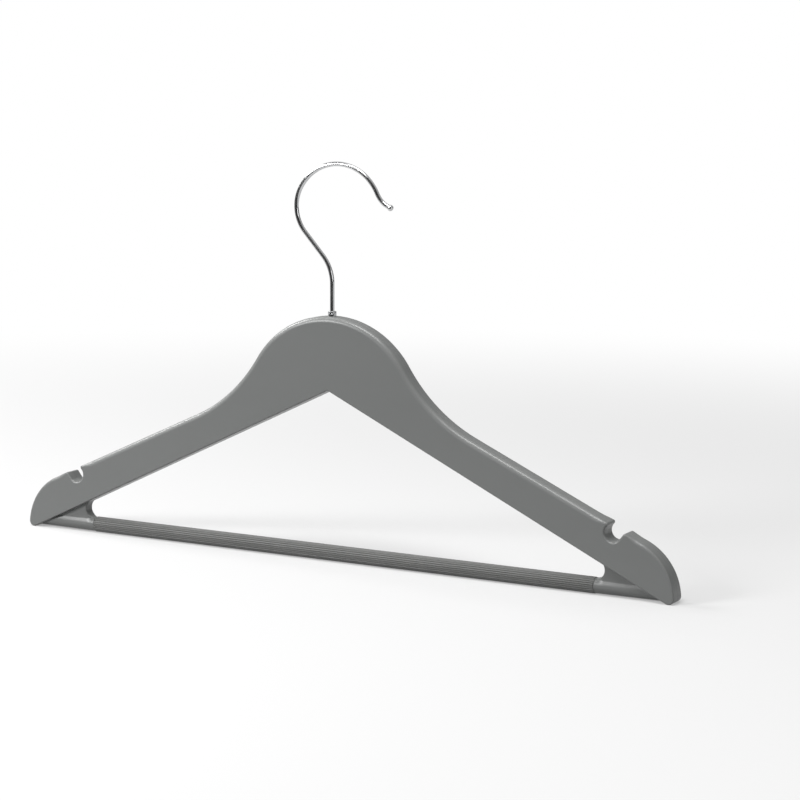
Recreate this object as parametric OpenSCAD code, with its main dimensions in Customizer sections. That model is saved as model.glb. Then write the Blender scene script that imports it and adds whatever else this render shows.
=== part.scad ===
// Trouser hanger: moulded body with two sloping arms, a ribbed bar and a swivelling wire hook.
// Lengths are in millimetres. +Z is up, the front faces -Y, and the arm tips stand on z = 0.

/* [Body outline] */
// Height where the top lines of the two arms would meet
arm_crown_z = 123.1; // [115:0.1:135]
// Fall of the arm's top line for each millimetre of width
arm_top_slope = 0.454; // [0.4:0.002:0.5]
// Fall of the arm's underside for each millimetre of width
arm_low_slope = 0.475; // [0.42:0.001:0.52]
// Distance from the middle to the centre of a rounded arm tip
tip_centre_x = 185.3; // [170:0.1:190]
// Radius of a rounded arm tip
tip_r = 34.2; // [30:0.1:40]
// Radius of the lower corner of an arm tip
corner_r = 3.3; // [1.5:0.1:5]
// Height of the top of the bell-shaped middle
bell_top_z = 145.6; // [138:0.1:155]
// Radius of the bell
bell_r = 58.9; // [50:0.1:66]
// Radius of the hollow shoulder between bell and arm
shoulder_r = 100.9; // [80:0.1:120]

/* [Body section] */
// Thickness of the body from front to back
body_t = 12; // [11:0.1:14]
// Thickness of the moulded walls
wall = 2.6; // [1.8:0.1:2.8]
// Rounding of the upper edges
edge_r = 3.2; // [1.5:0.1:4]
// Rounding of the edges at the arm tips
tip_edge_r = 0.9; // [0.4:0.1:1.5]
// Rounding of the edges along the underside
low_edge_r = 0.8; // [0.3:0.1:1.2]
// Rounding of the upper edges just past a notch
past_edge_r = 2.2; // [1:0.1:3]
// Length over which the upper rounding fades out towards a notch
edge_fade = 9; // [4:0.5:15]
// Distance between two inner ribs
rib_pitch = 24; // [15:0.5:40]
// Thickness of an inner rib
rib_t = 1.4; // [0.8:0.1:2]

/* [Strap notches] */
// Distance from the centre of the arm tip in to the centre of a notch
notch_in = 2.9; // [1:0.1:6]
// Depth of the notch centre below the arm's top line
notch_sink = 3.9; // [3.6:0.1:4.8]
// Radius of the round notch bottom
notch_r = 5.05; // [4.6:0.05:6]
// Steepness of the outer notch wall in degrees
notch_wall_a = 52.3; // [42:0.1:70]
// Rounding of the two notch lips
lip_r = 1.3; // [1.1:0.1:2]
// Rounding of the edges inside the notch
notch_edge_r = 1; // [0.4:0.1:1]

/* [Joining pegs] */
// Radius of a joining peg
peg_r = 1.5; // [1:0.1:1.8]
// Length of a peg in the other half
peg_len = 2.4; // [1.5:0.1:2.8]
// Wall of the boss round a peg
boss_wall = 1.7; // [1.2:0.1:2.5]

/* [Bar] */
// Radius of the ribbed sleeve over its ribs
sleeve_r = 4.7; // [4.2:0.1:6]
// Height of the sleeve above the floor
bar_lift = 0.2; // [0.1:0.1:2]
// Distance from a sleeve end to the centre of the arm tip
seam_in = 14.4; // [12:0.1:18]
// Number of ribs round the sleeve
rib_count = 24; // [12:1:32]
// Radius of the groove between two ribs
groove_r = 0.36; // [0.2:0.02:0.5]
// Distance of the groove centre outside the sleeve
groove_out = 0.06; // [0:0.02:0.15]
// Step from the sleeve down to the smooth bar end
stub_step = 0.25; // [0.1:0.05:0.5]
// Loss of radius of the bar end up to the arm tip
stub_draft = 0.25; // [0:0.05:0.6]
// Radius of the stiffening rod
core_r = 2.4; // [1.5:0.1:3]
// Depth of the rod in each bar end
core_in = 16; // [8:0.5:18]
// Distance from the sleeve end to the upright inner edge of the web
web_in = 5.9; // [5.6:0.1:8]
// Radius of the curve between web and bar
flare_r = 5; // [3:0.1:5.4]
// Radius of the curve between web and arm
crook_r = 6; // [4:0.1:6.5]
// Length of the tongue that the web sets into the arm
tongue_len = 29; // [20:0.5:31]
// Height of the tongue inside the arm
tongue_h = 8; // [6:0.1:9]
// Distance from the web's edge to the tongue
tongue_in = 2.2; // [1:0.1:4]

/* [Hook] */
// Radius of the hook's wire
wire_r = 1.35; // [1:0.05:1.6]
// Height of the straight shank above the body
shank_rise = 18.5; // [12:0.1:26]
// Radius of the first bend
neck_r = 24.7; // [15:0.1:32]
// Turn of the first bend in degrees
neck_a = 42.2; // [30:0.1:50]
// Length of the straight part after the first bend
lean_len = 18; // [12:0.1:24]
// Radius of the bend back into the ring
throat_r = 22; // [15:0.1:28]
// Turn of the bend back in degrees
throat_a = 74.5; // [60:0.1:90]
// Radius of the ring that lies on the rail
ring_r = 29; // [22:0.1:34]
// Turn of the ring in degrees
ring_a = 122; // [100:1:140]
// Radius of the outward bend at the end
lead_r = 14.8; // [8:0.1:20]
// Turn of the outward bend in degrees
lead_a = 41.5; // [30:0.1:60]
// Length of the straight wire before the ball's centre
end_len = 1.2; // [1.2:0.1:3]
// Radius of the ball on the wire's end
ball_r = 1.8; // [1.7:0.05:2.6]
// Depth of the wire past the ball's centre
ball_in = 0.6; // [0:0.1:0.9]

/* [Swivel] */
// Radius of the collar
collar_r = 2.5; // [2.3:0.1:3.2]
// Height of the collar above the body
collar_rise = 2.9; // [2:0.1:5]
// Depth of the collar's seat in the body
collar_sink = 0.4; // [0.3:0.1:1]
// Radius of the spigot below the collar
spigot_r = 2.1; // [1.9:0.05:2.2]
// Length of the spigot below the collar
spigot_len = 4.8; // [3:0.1:7]
// Radius of the bush
bush_r = 2.6; // [2.2:0.1:2.8]
// Radius of the bush's flange
flange_r = 3.2; // [3:0.1:3.3]
// Thickness of the bush's flange
flange_t = 1.2; // [0.8:0.1:2]
// Length of the bush below its flange
bush_len = 4.6; // [3:0.1:6]
// Radius of the washer
washer_r = 3; // [2.9:0.1:3.1]
// Thickness of the washer
washer_t = 1; // [0.6:0.1:1.6]
// Width of the nut across its flats
nut_w = 5; // [4.4:0.1:5.2]
// Height of the nut
nut_h = 4; // [3:0.1:5]

/* [Fits] */
// Gap round a fixed piece and round the turning shank
fit_gap = 0.05; // [0.02:0.01:0.08]
// Play between the turning washer and the bush
turn_gap = 0.3; // [0.2:0.05:0.6]
// Room round and below the turning nut and washer
nut_room = 0.4; // [0.3:0.05:0.5]
// Gap between the sleeve and each bar end
seam_gap = 0.1; // [0.05:0.05:0.4]

/* [Hidden] */
$fn = 48;
overlap = 0.5;
joint_len = 0.4;
joint_skin = 0.01;
half_t = body_t / 2;
cavity_t = half_t - wall;

// Outline: tangent points of bell, shoulder, arm, notch and tip
top_len = sqrt(1 + arm_top_slope * arm_top_slope);
low_len = sqrt(1 + arm_low_slope * arm_low_slope);
top_dir = 90 - atan(arm_top_slope);
low_dir = -90 - atan(arm_low_slope);
bell_z = bell_top_z - bell_r;
reach = arm_crown_z + shoulder_r * top_len - bell_z;
join_r = bell_r + shoulder_r;
root = reach * reach - join_r * join_r;
shoulder_x = (arm_top_slope * reach + sqrt(pow(arm_top_slope * reach, 2) - top_len * top_len * root))
    / (top_len * top_len);
shoulder_z = arm_crown_z - arm_top_slope * shoulder_x + shoulder_r * top_len;
bell_dir = atan2(shoulder_z - bell_z, shoulder_x);
tip_z = arm_crown_z - arm_top_slope * tip_centre_x - tip_r * top_len;
corner_x = tip_centre_x + sqrt(pow(tip_r - corner_r, 2) - pow(corner_r - tip_z, 2));
corner_dir = atan2(corner_r - tip_z, corner_x - tip_centre_x);
low_crown_z = corner_r + arm_low_slope * corner_x - corner_r * low_len;
notch_x = tip_centre_x - notch_in;
notch_z = top_z(notch_x) - notch_sink;
lip_drop = notch_sink - lip_r * top_len;
lip1_run = (arm_top_slope * lip_drop - sqrt(pow(arm_top_slope * lip_drop, 2)
    - top_len * top_len * (lip_drop * lip_drop - pow(notch_r + lip_r, 2)))) / (top_len * top_len);
lip1 = [notch_x + lip1_run, top_z(notch_x + lip1_run) - lip_r * top_len];
lip1_dir = atan2(lip1[1] - notch_z, lip1[0] - notch_x);
lip2_foot = [notch_x, notch_z] + (notch_r + lip_r) * [sin(notch_wall_a), -cos(notch_wall_a)];
lip2_run = (top_z(lip2_foot[0]) - lip_r * top_len - lip2_foot[1])
    / (sin(notch_wall_a) + arm_top_slope * cos(notch_wall_a));
lip2 = lip2_foot + lip2_run * [cos(notch_wall_a), sin(notch_wall_a)];

function top_z(x) = arm_crown_z - arm_top_slope * x;
function low_z(x) = low_crown_z - arm_low_slope * x;
function mid_z(x) = (top_z(x) + low_z(x)) / 2;
function dir(a) = [cos(a), sin(a)];

// Arc from angle a to angle b in n steps, as [x, z, edge rounding], with the rounding going from e to f
function arc(c, r, a, b, n, e, f) = [for (i = [0 : n])
    [c[0] + r * cos(a + (b - a) * i / n), c[1] + r * sin(a + (b - a) * i / n), e + (f - e) * i / n]];
// The sharp corner that an arc rounds off
function corner(c, r, a, b) =
    let (p = c + r / cos((a - b) / 2) * dir((a + b) / 2)) [[p[0], p[1], 0]];
function along(x, e) = [[x, top_z(x), e]];

// The same arc without its first point
function arc_on(c, r, a, b, n, e, f) = let (all = arc(c, r, a, b, n, e, f)) [for (i = [1 : n]) all[i]];

// Right half of the outline, clockwise from the top middle to the middle of the underside
bell_steps = 12;
shoulder_steps = 8;
lip_steps = 5;
notch_steps = 12;
tip_steps = 12;
corner_steps = 6;
arm_foot_x = lip1[0] - 2 * edge_fade;
function half_outline(sharp) = concat(
    arc([0, bell_z], bell_r, 90, bell_dir, bell_steps, edge_r, edge_r),
    arc_on([shoulder_x, shoulder_z], shoulder_r, 180 + bell_dir, 180 + top_dir, shoulder_steps,
        edge_r, edge_r),
    sharp ? [] : along(lip1[0] - edge_fade, edge_r),
    sharp ? corner(lip1, lip_r, top_dir, lip1_dir - 180)
        : arc(lip1, lip_r, top_dir, lip1_dir - 180, lip_steps, notch_edge_r, notch_edge_r),
    arc_on([notch_x, notch_z], notch_r, lip1_dir, 270 + notch_wall_a, notch_steps,
        notch_edge_r, notch_edge_r),
    sharp ? corner(lip2, lip_r, 90 + notch_wall_a, top_dir)
        : arc(lip2, lip_r, 90 + notch_wall_a, top_dir, lip_steps, notch_edge_r, notch_edge_r),
    arc([tip_centre_x, tip_z], tip_r, top_dir, corner_dir, tip_steps, past_edge_r, tip_edge_r),
    sharp ? corner([corner_x, corner_r], corner_r, corner_dir, low_dir)
        : arc_on([corner_x, corner_r], corner_r, corner_dir, low_dir, corner_steps, tip_edge_r, low_edge_r),
    sharp ? [] : [[arm_foot_x, low_z(arm_foot_x), low_edge_r]],
    [[0, low_crown_z, low_edge_r]]);
function whole_outline(sharp) =
    let (h = half_outline(sharp))
    concat(h, [for (i = [len(h) - 2 : -1 : 1]) [-h[i][0], h[i][1], h[i][2]]]);
function inward(p, q) = let (d = [q[1] - p[1], p[0] - q[0]]) d / norm(d);
// Point i of the outline, moved inwards by d
function inset(o, i, d) =
    let (n = len(o), a = inward(o[(i + n - 1) % n], o[i]), b = inward(o[i], o[(i + 1) % n]))
    [o[i][0], o[i][1]] + d * (a + b) / (1 + a * b);

outer = whole_outline(false);
inner = whole_outline(true);
round_steps = 5;

// Triangles of a flat side, as outline points: fans over bell and shoulder from the middle of
// the underside, over the arm from a point below it, and over the tip from the arm's foot
n_out = len(outer);
apex_i = n_out / 2;
arm_i = apex_i - 1;
foot_i = apex_i - 2;
shoulder_i = bell_steps + shoulder_steps;
notch_i = shoulder_i + lip_steps + 2 + round(0.55 * notch_steps);
half_side = concat(
    [for (i = [0 : shoulder_i - 1]) [apex_i, i, i + 1]],
    [[shoulder_i, arm_i, apex_i]],
    [for (i = [shoulder_i : notch_i - 1]) [arm_i, i, i + 1]],
    [[notch_i, foot_i, arm_i]],
    [for (i = [notch_i : foot_i - 2]) [foot_i, i, i + 1]]);
flat_side = concat(half_side, [for (t = half_side) [for (k = [0, 2, 1]) (n_out - t[k]) % n_out]]);

// Levels along the shaft, from the top of the body down
collar_z = bell_top_z - collar_sink;
spigot_z = collar_z - spigot_len;
flange_z = spigot_z - flange_t;
bush_z = flange_z - bush_len;
washer_z = bush_z - turn_gap - washer_t;
nut_z = washer_z - nut_h;
foot_z = nut_z - nut_room;
pocket_z = foot_z - nut_room;
pocket_r = washer_r + nut_room;
column_x = pocket_r + wall + 2.6;

// Bar and web
bar_z = bar_lift + sleeve_r;
seam_x = tip_centre_x - seam_in;
web_x = seam_x + web_in;
plate_t = 2 * (cavity_t - fit_gap);
stub_r = sleeve_r - stub_step;
flare_z = bar_z + stub_r - 0.15 + flare_r;
crook_z = low_z(web_x - crook_r) - crook_r * low_len;
crook_end = web_x - 0.35 * crook_r;
tongue_x = web_x + tongue_in;
tongue_end = tongue_x + tongue_len;
tongue_peg = [tongue_x + 0.6 * tongue_len, low_z(tongue_x + 0.6 * tongue_len) + tongue_h / 2];

boss_r = peg_r + fit_gap + boss_wall;
peg_at = [[27, low_crown_z + 13], [76, mid_z(76)], [116, mid_z(116)], [158, mid_z(158)]];

// Hook path: start of each stretch and the centre of each bend, in X and Z
ring_dir = neck_a - throat_a;
lead_dir = ring_dir - ring_a;
end_dir = lead_dir + lead_a;
neck_p = [0, bell_top_z + shank_rise];
neck_c = neck_p - [neck_r, 0];
lean_p = neck_c + neck_r * dir(neck_a);
throat_p = lean_p + lean_len * dir(90 + neck_a);
throat_c = throat_p + throat_r * dir(neck_a);
ring_p = throat_c - throat_r * dir(ring_dir);
ring_c = ring_p + ring_r * dir(ring_dir);
lead_p = ring_c - ring_r * dir(lead_dir);
lead_c = lead_p - lead_r * dir(lead_dir);
end_p = lead_c + lead_r * dir(end_dir);
ball_p = end_p + end_len * dir(end_dir + 90);

module tube_z(z, h, r) {
    translate([0, 0, z]) cylinder(h = h, r = r);
}

module rod_y(p, y, h, r) {
    translate([p[0], y, p[1]]) rotate([-90, 0, 0]) cylinder(h = h, r = r);
}

module rod_x(x, h, r, s) {
    translate([x, 0, bar_z]) rotate([0, 90, 0]) cylinder(h = h, r1 = r, r2 = s);
}

// A flat shape drawn in X and Z, from y to y + t
module plate(y, t) {
    translate([0, y + t, 0]) rotate([90, 0, 0]) linear_extrude(t) children();
}

// Solid front of the body with its rounded edges, reaching past the joining plane at y = 0
module half_body() {
    n = n_out;
    points = concat(
        [for (i = [0 : n - 1]) [outer[i][0], wall, outer[i][1]]],
        [for (k = [0 : round_steps]) let (a = 90 * k / round_steps)
            for (i = [0 : n - 1]) let (e = outer[i][2], p = inset(outer, i, e * (1 - cos(a))))
                [p[0], e - half_t - e * sin(a), p[1]]]);
    sides = [for (k = [0 : round_steps]) for (i = [0 : n - 1])
        let (j = (i + 1) % n, a = k * n, b = a + n)
        each [[a + i, a + j, b + j], [a + i, b + j, b + i]]];
    front = [for (t = flat_side) [for (i = t) (round_steps + 1) * n + i]];
    back = [for (t = flat_side) [t[2], t[1], t[0]]];
    polyhedron(points, concat(sides, front, back));
}

// Everything that the swivel needs free, on the shaft's axis
module swivel_room() {
    tube_z(collar_z, collar_rise + overlap, collar_r + fit_gap);
    tube_z(spigot_z, spigot_len + overlap, spigot_r + fit_gap);
    tube_z(flange_z - fit_gap, flange_t + fit_gap, flange_r + fit_gap);
    tube_z(bush_z - overlap, bush_len + overlap, bush_r + fit_gap);
    tube_z(pocket_z, bush_z - pocket_z, pocket_r);
}

// The hollow of the front half: wall all round, with ribs, bosses and the middle column left standing
module hollow() {
    difference() {
        plate(-cavity_t, cavity_t + overlap)
            polygon([for (i = [0 : len(inner) - 1]) inset(inner, i, wall)]);
        for (s = [-1, 1]) {
            for (x = [rib_pitch : rib_pitch : web_x - rib_t])
                translate([s * x - rib_t / 2, -body_t, 0]) cube([rib_t, 2 * body_t, bell_top_z]);
            for (p = peg_at)
                rod_y([s * p[0], p[1]], -body_t, 2 * body_t, boss_r);
        }
        translate([-column_x, -body_t, 0]) cube([2 * column_x, 2 * body_t, bell_top_z]);
    }
}

// The slot in the underside of the right arm for the tongue of the bar end
module tongue_slot() {
    plate(-cavity_t, cavity_t + overlap) polygon([
        [tongue_x - fit_gap, low_z(tongue_x) - overlap],
        [tongue_x - fit_gap, low_z(tongue_x) + tongue_h + fit_gap],
        [tongue_end + fit_gap, low_z(tongue_end) + tongue_h + fit_gap],
        [tongue_end + fit_gap, low_z(tongue_end) - overlap]]);
}

module shell_half() {
    difference() {
        half_body();
        translate([-2 * tip_centre_x, 0, -overlap]) cube([4 * tip_centre_x, body_t, 2 * bell_top_z]);
        hollow();
        tongue_slot();
        mirror([1, 0, 0]) tongue_slot();
        swivel_room();
    }
}

module front_shell() {
    color([0.5, 0.5, 0.51]) {
        shell_half();
        for (s = [-1, 1]) {
            for (p = peg_at)
                rod_y([s * p[0], p[1]], -cavity_t, cavity_t + peg_len, peg_r);
            rod_y([s * tongue_peg[0], tongue_peg[1]], -half_t + wall / 2,
                half_t - wall / 2 + cavity_t - fit_gap, peg_r);
        }
    }
}

module rear_shell() {
    color([0.47, 0.47, 0.48]) difference() {
        mirror([0, 1, 0]) shell_half();
        for (s = [-1, 1])
            for (p = peg_at)
                rod_y([s * p[0], p[1]], -overlap, peg_len + 2 * fit_gap + overlap, peg_r + fit_gap);
    }
}

module hook_ferrule() {
    color([0.75, 0.76, 0.78]) rotate_extrude() polygon([
        [wire_r + fit_gap, spigot_z],
        [spigot_r, spigot_z],
        [spigot_r, collar_z],
        [collar_r, collar_z],
        [collar_r, bell_top_z + collar_rise - 0.5],
        [collar_r - 0.5, bell_top_z + collar_rise],
        [wire_r + fit_gap, bell_top_z + collar_rise]]);
}

module swivel_bush() {
    color([0.9, 0.9, 0.86]) rotate_extrude() polygon([
        [wire_r + fit_gap, bush_z],
        [bush_r, bush_z],
        [bush_r, flange_z],
        [flange_r, flange_z],
        [flange_r, spigot_z],
        [wire_r + fit_gap, spigot_z]]);
}

module bar_core() {
    core_x = seam_x + core_in;
    color([0.6, 0.6, 0.62]) rod_x(-core_x, 2 * core_x, core_r, core_r);
}

module grip_sleeve() {
    sleeve_x = seam_x - seam_gap;
    color([0.38, 0.38, 0.4]) difference() {
        rod_x(-sleeve_x, 2 * sleeve_x, sleeve_r, sleeve_r);
        rod_x(-seam_x, 2 * seam_x, core_r + fit_gap, core_r + fit_gap);
        for (i = [0 : rib_count - 1])
            translate([0, 0, bar_z]) rotate([360 * (i + 0.5) / rib_count, 0, 0])
                translate([-seam_x, 0, sleeve_r + groove_out]) rotate([0, 90, 0])
                    cylinder(h = 2 * seam_x, r = groove_r, $fn = 16);
    }
}

// Smooth bar end, web and tongue in one moulding
module bar_end_right() {
    color([0.5, 0.5, 0.51]) difference() {
        union() {
            difference() {
                rod_x(seam_x, corner_x - seam_x, stub_r, stub_r - stub_draft);
                plate(-body_t, 2 * body_t) polygon([
                    [seam_x - overlap, low_z(seam_x - overlap)],
                    [corner_x + overlap, low_z(corner_x + overlap)],
                    [corner_x + overlap, bell_top_z],
                    [seam_x - overlap, bell_top_z]]);
            }
            plate(-plate_t / 2, plate_t) difference() {
                polygon([
                    [web_x - flare_r, bar_z],
                    [web_x - flare_r, flare_z],
                    [crook_end, low_z(crook_end)],
                    [tongue_x, low_z(tongue_x)],
                    [tongue_x, low_z(tongue_x) + tongue_h],
                    [tongue_end, low_z(tongue_end) + tongue_h],
                    [tongue_end, low_z(tongue_end)],
                    [tongue_end - 2, bar_z]]);
                translate([web_x - flare_r, flare_z]) circle(r = flare_r);
                translate([web_x - crook_r, crook_z]) circle(r = crook_r);
                polygon([[web_x - flare_r, flare_z], [web_x, flare_z],
                    [web_x, crook_z], [web_x - crook_r, crook_z]]);
            }
        }
        rod_x(seam_x - overlap, core_in + 2 * overlap, core_r + fit_gap, core_r + fit_gap);
        rod_y(tongue_peg, -body_t, 2 * body_t, peg_r + fit_gap);
    }
}

module bar_end_left() {
    mirror([1, 0, 0]) bar_end_right();
}

module wire_bend(c, r, a, turn) {
    translate([c[0], 0, c[1]]) rotate([90, 0, 0]) rotate([0, 0, a])
        rotate_extrude(angle = turn) translate([r, 0]) circle(r = wire_r);
}

// Straight wire from p along direction a
module wire_leg(p, a, len) {
    translate([p[0], 0, p[1]]) rotate([0, 90 - a, 0]) cylinder(h = len, r = wire_r);
}

// Keeps two stretches of wire in one solid where they meet
module wire_joint(p, a) {
    translate([p[0], 0, p[1]]) rotate([0, 90 - a, 0])
        translate([0, 0, -joint_len / 2]) cylinder(h = joint_len, r = wire_r + joint_skin);
}

module hook_wire() {
    color([0.8, 0.8, 0.82]) {
        wire_leg([0, foot_z], 90, neck_p[1] - foot_z);
        wire_joint(neck_p, 90);
        wire_bend(neck_c, neck_r, 0, neck_a);
        wire_joint(lean_p, 90 + neck_a);
        wire_leg(lean_p, 90 + neck_a, lean_len);
        wire_joint(throat_p, 90 + neck_a);
        wire_bend(throat_c, throat_r, ring_dir + 180, throat_a);
        wire_joint(ring_p, 90 + ring_dir);
        wire_bend(ring_c, ring_r, lead_dir + 180, ring_a);
        wire_joint(lead_p, 90 + lead_dir);
        wire_bend(lead_c, lead_r, lead_dir, lead_a);
        wire_joint(end_p, end_dir + 90);
        wire_leg(end_p, end_dir + 90, end_len + ball_in);
    }
}

module hook_tip() {
    color([0.8, 0.8, 0.82]) translate([ball_p[0], 0, ball_p[1]]) difference() {
        sphere(r = ball_r);
        rotate([0, -end_dir, 0]) translate([0, 0, -ball_r - overlap])
            cylinder(h = ball_r + overlap + ball_in + fit_gap, r = wire_r + fit_gap);
    }
}

module thrust_washer() {
    color([0.7, 0.71, 0.73]) difference() {
        tube_z(washer_z, washer_t, washer_r);
        tube_z(washer_z - overlap, washer_t + 2 * overlap, wire_r + fit_gap);
    }
}

module shank_nut() {
    color([0.65, 0.66, 0.68]) difference() {
        translate([0, 0, nut_z]) cylinder(h = nut_h, r = nut_w / sqrt(3), $fn = 6);
        tube_z(nut_z - overlap, nut_h + 2 * overlap, wire_r + fit_gap);
    }
}

front_shell();
rear_shell();
hook_ferrule();
swivel_bush();
bar_core();
grip_sleeve();
bar_end_left();
bar_end_right();
hook_wire();
hook_tip();
thrust_washer();
shank_nut();
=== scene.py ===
# %% [markdown]
# # A moulded trouser hanger
# The CAD model gives every solid of the hanger its exact place. Here each visible
# solid gets a finer surface worked out from a formula, and a finish of its own.
# Everything is measured in the CAD's frame: X runs along the bar, -Y is the front,
# +Z is up, and the arm tips stand on the floor at Z = 0.

import bmesh
import bpy
import numpy as np
from mathutils import Matrix, Vector


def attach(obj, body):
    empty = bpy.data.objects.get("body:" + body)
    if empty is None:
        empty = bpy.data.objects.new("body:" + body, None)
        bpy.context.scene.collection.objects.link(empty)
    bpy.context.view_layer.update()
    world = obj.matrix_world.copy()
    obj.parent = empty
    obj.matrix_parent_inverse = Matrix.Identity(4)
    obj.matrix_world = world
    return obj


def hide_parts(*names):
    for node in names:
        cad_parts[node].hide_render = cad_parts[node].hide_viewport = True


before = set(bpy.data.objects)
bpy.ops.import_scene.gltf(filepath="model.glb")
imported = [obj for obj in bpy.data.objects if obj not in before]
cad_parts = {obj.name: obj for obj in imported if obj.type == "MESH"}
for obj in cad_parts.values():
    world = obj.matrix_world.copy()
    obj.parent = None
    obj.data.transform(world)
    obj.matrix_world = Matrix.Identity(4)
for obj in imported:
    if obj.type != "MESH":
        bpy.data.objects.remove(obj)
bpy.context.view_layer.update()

MM = 0.001

# %% [markdown]
# ## The camera
# A photographer's long lens from the right and a little above. The camera is placed
# by its turn round the hanger, its height angle and its distance, and it is rolled by
# a fifth of a degree, as hand-held or trimmed pictures often are.

# %% Camera
turn, height, roll = np.radians([29.0, 8.515, 0.2123])
target = np.array([45.32, 0.0, 99.64]) * MM
camera_distance, lens_length = 1371.3 * MM, 107.078
away = np.array([np.sin(turn) * np.cos(height), -np.cos(turn) * np.cos(height), np.sin(height)])
right = np.array([np.cos(turn), np.sin(turn), 0.0])
upward = np.cross(away, right)
place = np.eye(4)
place[:3, 0] = np.cos(roll) * right + np.sin(roll) * upward
place[:3, 1] = np.cos(roll) * upward - np.sin(roll) * right
place[:3, 2] = away
place[:3, 3] = target + camera_distance * away
camera_data = bpy.data.cameras.new("camera")
camera_data.sensor_fit = "HORIZONTAL"
camera_data.sensor_width = 36.0
camera_data.lens = lens_length
camera_data.clip_start, camera_data.clip_end = 0.05, 50.0
camera = bpy.data.objects.new("camera", camera_data)
camera.matrix_world = Matrix(place.tolist())
bpy.context.collection.objects.link(camera)
bpy.context.scene.camera = camera
print("camera at", np.round(place[:3, 3], 3))

# %% [markdown]
# ## From arrays to a mesh
# Every piece below is a grid of points: rows run along one parameter and columns along
# the other. These helpers turn such a grid into quads and hand the arrays to Blender in
# one go, which is far quicker than adding points one by one. Points that fall together,
# as at a pole, are merged, and then every face is turned outwards.

# %% Mesh helpers
sharp_from = 35.0


def grid_faces(rows, cols, wrap_rows=False, wrap_cols=False, start=0):
    """Quads of a rows x cols grid: corner (i, j), (i, j+1), (i+1, j+1), (i+1, j)."""
    i = np.arange(rows if wrap_rows else rows - 1)[:, None]
    j = np.arange(cols if wrap_cols else cols - 1)[None, :]
    i2, j2 = (i + 1) % rows, (j + 1) % cols
    quads = np.stack([i * cols + j, i * cols + j2, i2 * cols + j2, i2 * cols + j], -1)
    return (quads.reshape(-1, 4) + start).tolist()


def make_piece(name, points, faces, material, marks=None, merge=1e-7):
    """Points in millimetres and faces become a smooth piece at the origin that faces outwards."""
    mesh = bpy.data.meshes.new(name)
    mesh.from_pydata((np.asarray(points) * MM).tolist(), [], faces)
    mesh.validate()
    for key, values in (marks or {}).items():
        layer = mesh.attributes.new(key, "FLOAT", "POINT")
        layer.data.foreach_set("value", np.asarray(values, dtype=np.float32).ravel())
    mesh.polygons.foreach_set("use_smooth", np.ones(len(mesh.polygons), dtype=bool))
    mesh.materials.append(material)
    work = bmesh.new()
    work.from_mesh(mesh)
    bmesh.ops.remove_doubles(work, verts=work.verts, dist=merge)
    bmesh.ops.dissolve_degenerate(work, edges=work.edges, dist=merge)
    bmesh.ops.recalc_face_normals(work, faces=work.faces)
    work.to_mesh(mesh)
    work.free()
    mesh.set_sharp_from_angle(angle=np.radians(sharp_from))
    piece = bpy.data.objects.new(name, mesh)
    bpy.context.collection.objects.link(piece)
    print(f"{name}: {len(mesh.vertices)} points, {len(mesh.polygons)} faces")
    return piece


def arc(centre, radius, start, end, count):
    """Points on a circle: centre + radius * (cos a, sin a), with a from start to end degrees."""
    a = np.radians(np.linspace(start, end, count))
    return np.asarray(centre) + radius * np.stack([np.cos(a), np.sin(a)], 1)


# %% [markdown]
# ## Shader groups
# Four effects are used by more than one finish, so each is a node group that is built
# once: the fine grain that a polished-then-sparked mould leaves, the slow colour drift
# of pigment in the melt, dust that settles on surfaces that face up, and the draw lines
# of wire and turned metal. A group only gives out masks and heights. The shader that
# they feed stays in the material.

# %% Group builder


class Nodes:
    """A short way to add nodes to a tree and join their sockets."""

    def __init__(self, tree):
        self.tree = tree

    def add(self, kind, settings=None, **inputs):
        """A new node. An input is named with _ for a space, or numbered as i0, i1 and so on."""
        node = self.tree.nodes.new(kind)
        for key, value in (settings or {}).items():
            setattr(node, key, value)
        for key, value in inputs.items():
            numbered = key[0] == "i" and key[1:].isdigit()
            socket = node.inputs[int(key[1:]) if numbered else key.replace("_", " ")]
            if isinstance(value, bpy.types.NodeSocket):
                self.tree.links.new(value, socket)
            else:
                socket.default_value = value
        return node

    def math(self, operation, a, b=0.0, clamp=False):
        """One sum on a and b."""
        return self.add("ShaderNodeMath", {"operation": operation, "use_clamp": clamp}, i0=a, i1=b).outputs[0]

    def mix(self, share, first, second):
        """first + share * (second - first)."""
        return self.add("ShaderNodeMix", {"data_type": "FLOAT"}, i0=share, i2=first, i3=second).outputs[0]

    def ramp(self, value, low, high, to_low=0.0, to_high=1.0):
        """A smooth step: to_low up to low, to_high from high on, 3 t^2 - 2 t^3 in between."""
        node = self.add("ShaderNodeMapRange", {"interpolation_type": "SMOOTHSTEP"}, Value=value)
        for key, number in (("From Min", low), ("From Max", high), ("To Min", to_low), ("To Max", to_high)):
            node.inputs[key].default_value = number
        return node.outputs[0]


def new_group(name, inputs, outputs):
    """A shader group with number inputs (name, default) and outputs (name, kind of socket)."""
    tree = bpy.data.node_groups.new(name, "ShaderNodeTree")
    for label, default in inputs:
        socket = tree.interface.new_socket(label, in_out="INPUT", socket_type="NodeSocketFloat")
        socket.default_value = default
    for label, kind in outputs:
        tree.interface.new_socket(label, in_out="OUTPUT", socket_type=kind)
    nodes = Nodes(tree)
    start, end = tree.nodes.new("NodeGroupInput"), tree.nodes.new("NodeGroupOutput")
    where = nodes.add("ShaderNodeTexCoord").outputs["Object"]
    return tree, nodes, start, end, where


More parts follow.
